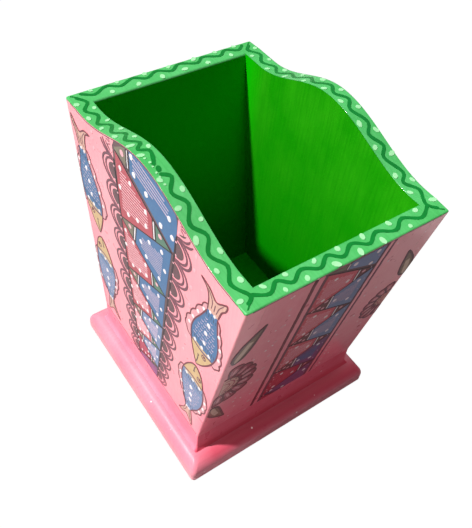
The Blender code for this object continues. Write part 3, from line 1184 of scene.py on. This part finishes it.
def flower(canvas, centre, size, facing, ground="petal", line="maroon"):
    """Half a flower that opens from a wall's edge. facing is 1 to open towards +u."""
    centre = Vector(centre)

    def at(angle, distance):
        turn = radians(angle)
        return centre + Vector((facing * cos(turn), sin(turn))) * distance * size

    under = [at(angle, 9.2) for angle in range(-96, 85, 12)]
    canvas.fill(ground, [at(-96, 3), *under, at(84, 3)], -1)
    for angle, reach in PETALS:
        ring = [at(angle + turn, reach * r) for turn, r in (
            (-6, 0.45), (-12, 0.74), (-11, 0.93), (-5, 1.0), (5, 1.0), (11, 0.93), (12, 0.74),
            (6, 0.45))]
        outline = curve(ring, steps=3)
        canvas.fill(ground, outline)
        canvas.stroke(line, outline, 0.7, 2)
        middle = [at(angle, reach * 0.58), at(angle, reach * 0.86)]
        canvas.stroke("shell", middle, 1.5, taper=0.7)
        for turn in (-7, 7):
            vein = [at(angle + turn, reach * 0.6), at(angle + turn, reach * 0.8)]
            canvas.stroke("rose", vein, 0.4)
    heart = [at(angle, 5.6) for angle in range(-96, 97, 12)]
    canvas.fill("peach", heart, 1)
    canvas.stroke(line, curve(heart), 0.6, 2)
    for distance in (3.9, 2.2):
        ring = [at(angle, distance) for angle in range(-90, 91, 15)]
        canvas.stroke(ground, curve(ring), 0.45, 2)
    for angle in (-70, -35, 0, 35, 70):
        canvas.dot(line, at(angle, 4.8), 0.3, 3)


def paint_end(name, sign):
    canvas = Canvas(name, on_end(sign), end_allowed)
    end_band(canvas)
    end_borders(canvas)
    flower(canvas, (-31.5, 58.3), 1.0, 1)
    leaf(canvas, (-31.2, 74.2), (-24.5, 91.7), 4.8, 0.5)
    leaf(canvas, (-32.6, 43.3), (-25.6, 28.3), 4.4, -1.0)
    flower(canvas, (32.4, 59.0), 0.82, -1, "coral", "lace")
    leaf(canvas, (32.6, 73.0), (26.2, 90.6), 4.6, -0.6)
    for k in range(9):
        canvas.dot("blush", (-17.9 + 0.36 * k, 93.3 - 9.4 * k), 0.75, 0)
        canvas.dot("blush", (17.6 - 0.1 * k, 92.0 - 9.3 * k), 0.65, 0)
    rng = Random(11)
    for _ in range(24):
        u = rng.uniform(16, 24) * rng.choice((-1, 1))
        canvas.dot("white", (u, rng.uniform(20, 102)), rng.uniform(0.28, 0.44), -1)
    under_rim = curve([(u, RIM_Z - 0.5) for u in range(-32, 33, 4)])
    canvas.stroke("lace", under_rim, 0.35, 0, wobble=0.2)
    canvas.finish()


# ---- the rim

# The rim's painted line: how far from the outer edge it turns, and where it turns along each strip
LINE_OUTSIDE = {"end": 2.2, "back": 1.1, "side": 1.9}
LINE_INSIDE = {"end": 4.6, "back": 3.2, "side": 4.2}
DOT_OUTSIDE = {"end": 1.3, "back": 0.9, "side": 1.1}  # dots in the hollows on that side
DOT_INSIDE = {"end": 5.0, "back": 4.6, "side": 4.9}
FRONT_TURNS = (-30, -25.5, -22, -18.5, -14.5, -10, -6, -2.5, 2, 6.3, 10.5, 15.5, 20, 25, 30)
BACK_TURNS = (-30, -26, -21, -17, -12, -8, -3.5, 1, 5, 10.5, 14, 19.5, 23, 27, 30)
LEFT_TURNS = (
    (45, 43, 38, 33, 28.5, 24, 20, 15, 11, 7, 5),
    (2, -3.5, -6, -9, -13, -17, -21, -26, -29.5, -34, -38, -41.5, -45),
)
RIGHT_TURNS = (
    (45, 42, 37, 33, 30, 24, 21, 16.5, 13, 7.5, 4, 0, -4, -9, -13, -17.5, -22, -26, -30, -34.5,
     -38.5, -42.5, -45),
)


def zigzag(turns, kind, inside_first):
    """(place, inset) pairs of a line that turns at those places, inside and outside in turn."""
    pairs = []
    for i, place in enumerate(turns):
        inside = (i % 2 == 0) == inside_first
        pairs.append((place, (LINE_INSIDE if inside else LINE_OUTSIDE)[kind]))
    return pairs


def paint_rim():
    canvas = Canvas("rim", on_rim, rim_allowed)
    rng = Random(21)

    def line(pairs, kind, at):
        path = [at(place, inset + rng.uniform(-0.15, 0.15)) for place, inset in pairs]
        canvas.stroke("leaf", resampled(curve(path), 0.8), 1.12, 1,
                      wobble=0.12)
        middle = (LINE_INSIDE[kind] + LINE_OUTSIDE[kind]) / 2
        for place, inset in pairs[1:-1]:
            far = DOT_OUTSIDE[kind] if inset > middle else DOT_INSIDE[kind]
            x, y = at(place + rng.uniform(-0.5, 0.5), far + rng.uniform(-0.15, 0.15))
            canvas.dot("mint", (x, y), rng.uniform(0.58, 0.84), 2, rng.uniform(1.1, 1.7),
                       rng.uniform(0, 180))

    line(zigzag(FRONT_TURNS, "end", True), "end", lambda x, inset: (x, inset - MOUTH_Y))
    line(zigzag(BACK_TURNS, "back", False), "back", lambda x, inset: (x, MOUTH_Y - inset))
    for turns in LEFT_TURNS:
        line(zigzag(turns, "side", False), "side", lambda u, inset: (inset - OUTER_X, -u))
    for turns in RIGHT_TURNS:
        line(zigzag(turns, "side", False), "side", lambda u, inset: (OUTER_X - inset, -u))
    canvas.dot("leaf", (-OUTER_X + 2.6, -3.4), 0.75, 1, 1.5, 70)
    # Small pale dots near the left rim's outer edge: painted glints of the sun in the gloss.
    for y in (1.5, -0.5, -2.2, -4.4, -6.0, -8.4):
        canvas.dot("mint", (-OUTER_X + rng.uniform(0.9, 2.0), y), rng.uniform(0.25, 0.45), 3)
    for sx in (-1, 1):
        for sy in (-1, 1):
            corner = (sx * (OUTER_X - 2.7), sy * (MOUTH_Y - 2.4))
            for tail in ((sx * 30, sy * (MOUTH_Y - 4.2)), (sx * 32.9, sy * (MOUTH_Y - 1.0))):
                canvas.stroke("leaf", [corner, tail], 0.9, 2)
    canvas.finish()


def resampled(line, step):
    """The same line with points no further apart than step, so that it follows the wave."""
    made = [line[0]]
    for a, b in zip(line, line[1:]):
        n = max(1, ceil((b - a).length / step))
        made += [along(a, b, i / n) for i in range(1, n + 1)]
    return made


# ---- nails, stage, camera


def finish_nails():
    for name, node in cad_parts.items():
        if "_nail_" in name:
            node.data.materials.clear()
            node.data.materials.append(MATERIALS["steel"])


FLOOR_SIZE = 6.0  # metres
FLOOR_DROP = -0.0005  # metres
DOME_R = 2.9  # metres
WHITE = ((0.28, 0.28, 0.28, 1), (0.32, 0.32, 0.32, 1))  # under its full white glow
GREY = ((0.25, 0.23, 0.23, 1), (0.22, 0.20, 0.20, 1))


def stage_piece(name, shape, paint, tones, hidden_from, **glow):
    """A piece of the stage. hidden_from names the kinds of ray that pass through it."""
    mesh = bpy.data.meshes.new(name)
    shape.to_mesh(mesh)
    shape.free()
    nodes = new_paint(paint)
    drift = nodes.noise((0.01, 0.01, 0.01), detail=2)
    mesh.materials.append(nodes.finish(nodes.mix(drift, *tones), 0.9, **glow))
    piece = bpy.data.objects.new(name, mesh)
    bpy.context.scene.collection.objects.link(piece)
    for ray in hidden_from:
        setattr(piece, f"visible_{ray}", False)
    return piece


def level_square(z):
    shape = bmesh.new()
    half = FLOOR_SIZE / 2
    corners = [(-half, -half, z), (half, -half, z), (half, half, z), (-half, half, z)]
    shape.faces.new([shape.verts.new(corner) for corner in corners])
    return shape


def make_stage():
    """A white floor for the camera, and the duller one that lights the cup from below. The dome
    is white for a low camera only: it casts no shadow and lights nothing."""
    glow = {"Emission_Color": (1, 1, 1, 1), "Emission_Strength": 1.0}
    floor = stage_piece("stage_floor", level_square(FLOOR_DROP), "white floor", WHITE,
                        ("diffuse", "glossy"), **glow)
    bounce = stage_piece("stage_bounce", level_square(0), "bounce floor", GREY, ("camera",))
    ball = bmesh.new()
    bmesh.ops.create_icosphere(ball, subdivisions=4, radius=DOME_R)
    dome = stage_piece("stage_dome", ball, "white surround", WHITE,
                       ("diffuse", "glossy", "transmission", "shadow"), **glow)


SUN_FROM = (-0.577, 0.224, 0.785)
SUN_STRENGTH = 6.2
SUN_SIZE = 3  # degrees
SKY = (0.40, 0.40, 0.39, 1)
OVERHEAD = (1.0, 1.0, 0.98, 1)
FRONT_LIGHT = (0.22, 0.08, 0.11, 1)  # from low down in front of the cup


def make_lights():
    lamp = bpy.data.lights.new("key", "SUN")
    lamp.energy = SUN_STRENGTH
    lamp.angle = radians(SUN_SIZE)
    key = bpy.data.objects.new("key", lamp)
    key.rotation_euler = Vector(SUN_FROM).to_track_quat("Z", "Y").to_euler()
    bpy.context.scene.collection.objects.link(key)

    world = bpy.data.worlds.new("studio")
    nodes = Nodes(world, "Generated")
    way = nodes.split(nodes.position)
    colour = nodes.mix(nodes.ramp(way["Y"], 0.0, -0.4), SKY, FRONT_LIGHT)
    colour = nodes.mix(nodes.ramp(way["Z"], 0.65, 0.9), colour, OVERHEAD)
    nodes.plug(nodes.tree.nodes["Background"].inputs["Color"], colour)
    bpy.context.scene.world = world


CAMERA_AT = (-95.25, -113.85, 226.93)
CAMERA_TURN = (40.518, -4.779, -34.596)  # degrees
CAMERA_LENS = 45.31


def make_camera():
    camera = bpy.data.objects.new("camera", bpy.data.cameras.new("camera"))
    camera.data.lens = CAMERA_LENS
    camera.data.clip_start = 0.01
    camera.location = Vector(CAMERA_AT) * MM
    camera.rotation_euler = [radians(angle) for angle in CAMERA_TURN]
    bpy.context.scene.collection.objects.link(camera)
    bpy.context.scene.camera = camera


make_camera()
make_lights()
make_stage()
make_plinth()
floor_top = make_floor_board()
make_walls(floor_top)
make_floor_coat(floor_top)
paint_side("left", -1)
paint_side("right", 1)
paint_end("front", -1)
paint_end("back", 1)
paint_rim()
finish_nails()
bpy.context.scene.view_settings.view_transform = "Standard"
